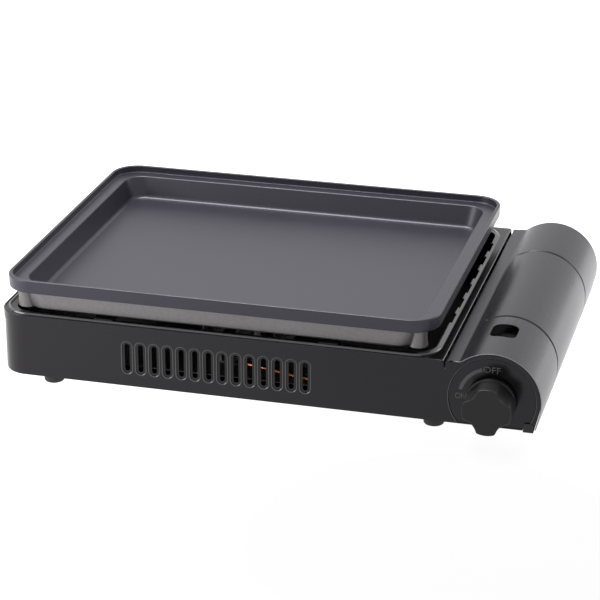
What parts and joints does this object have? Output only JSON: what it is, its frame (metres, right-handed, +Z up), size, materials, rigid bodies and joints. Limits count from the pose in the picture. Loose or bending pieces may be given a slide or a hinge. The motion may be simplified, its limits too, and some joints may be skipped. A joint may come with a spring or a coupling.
{
  "type": "cassette gas hot plate",
  "caption": "Low sheet steel gas hot plate: a cast griddle plate lifts off its pads, an arched lid opens over the cartridge bay, and a lobed knob turns on the gas and fires the igniter.",
  "frame": {"origin": "on the table under the middle of the object's box, knob included", "axes": "+X to the cartridge side, +Y to the rear, +Z up"},
  "size_m": [0.4995, 0.361, 0.1],
  "materials": {
    "case_paint": "satin gloss enamel",
    "tray_paint": "satin gloss enamel",
    "lid_paint": "metallic gloss enamel",
    "plate_coat": "dark non-stick coating, bare lower wall",
    "bright_steel": "bright sheet",
    "burner_steel": "satin tube",
    "cradle_paint": "satin enamel",
    "cast_alloy": "as cast",
    "brass": "turned",
    "copper": "drawn copper tube",
    "magnet": "sintered",
    "guide_plastic": "moulded",
    "igniter_plastic": "moulded",
    "fastener_steel": "zinc plated",
    "ceramic": "glazed ceramic",
    "lead_rubber": "silicone wire cover",
    "foot_rubber": "moulded rubber",
    "knob_plastic": "fine textured"
  },
  "bodies": {
    "stove_body": {"lower_case": "case_paint", "base_plate": "bright_steel", "top_tray": "tray_paint", "partition_wall": "bright_steel", "cartridge_cradle": "cradle_paint", "heat_shield": "bright_steel", "burner_straights": "burner_steel", "burner_left_end": "burner_steel", "burner_right_end": "burner_steel", "burner_riser": "burner_steel", "burner_stands": "bright_steel", "mixing_tube": "burner_steel", "gas_jet": "brass", "jet_bracket": "bright_steel", "gas_pipe": "copper", "valve_bracket": "bright_steel", "valve_body": "cast_alloy", "regulator": "cast_alloy", "cartridge_magnets": "magnet", "cartridge_guide": "guide_plastic", "igniter_body": "igniter_plastic", "igniter_spring": "fastener_steel", "spark_electrode": "ceramic", "electrode_bracket": "bright_steel", "electrode_lead": "lead_rubber", "hinge_brackets": "bright_steel", "lid_hinge_pins": "fastener_steel", "lid_stops": "foot_rubber", "rubber_feet": "foot_rubber", "foot_screws": "fastener_steel", "case_screws": "fastener_steel", "valve_screws": "fastener_steel"},
    "plate": {"cooking_plate": "plate_coat"},
    "lid": {"cartridge_lid": "lid_paint"},
    "knob": {"control_knob": "knob_plastic", "knob_shaft": "brass", "igniter_cam": "igniter_plastic", "shaft_clip": "fastener_steel"},
    "plunger": {"igniter_plunger": "fastener_steel"}
  },
  "joints": [
    {"name": "plate_lift", "type": "slide", "parent": "stove_body", "child": "plate", "axis": [0, 0, 1], "range_m": [0, 0.12]},
    {"name": "lid_hinge", "type": "hinge", "parent": "stove_body", "child": "lid", "pos_m": [0.1687, 0.01345, 0.0625], "axis": [0, -1, 0], "range_deg": [0, 80]},
    {"name": "knob_turn", "type": "hinge", "parent": "stove_body", "child": "knob", "pos_m": [0.2065, -0.15295, 0.034], "axis": [0, -1, 0], "range_deg": [0, 90]},
    {"name": "plunger_slide", "type": "slide", "parent": "stove_body", "child": "plunger", "axis": [-1, 0, 0], "range_m": [0, 0.006], "deforming": ["igniter_spring"]}
  ],
  "couplings": [
    {"joint": "plunger_slide", "follows": "knob_turn", "m_per_rad": 0.003819}
  ]
}
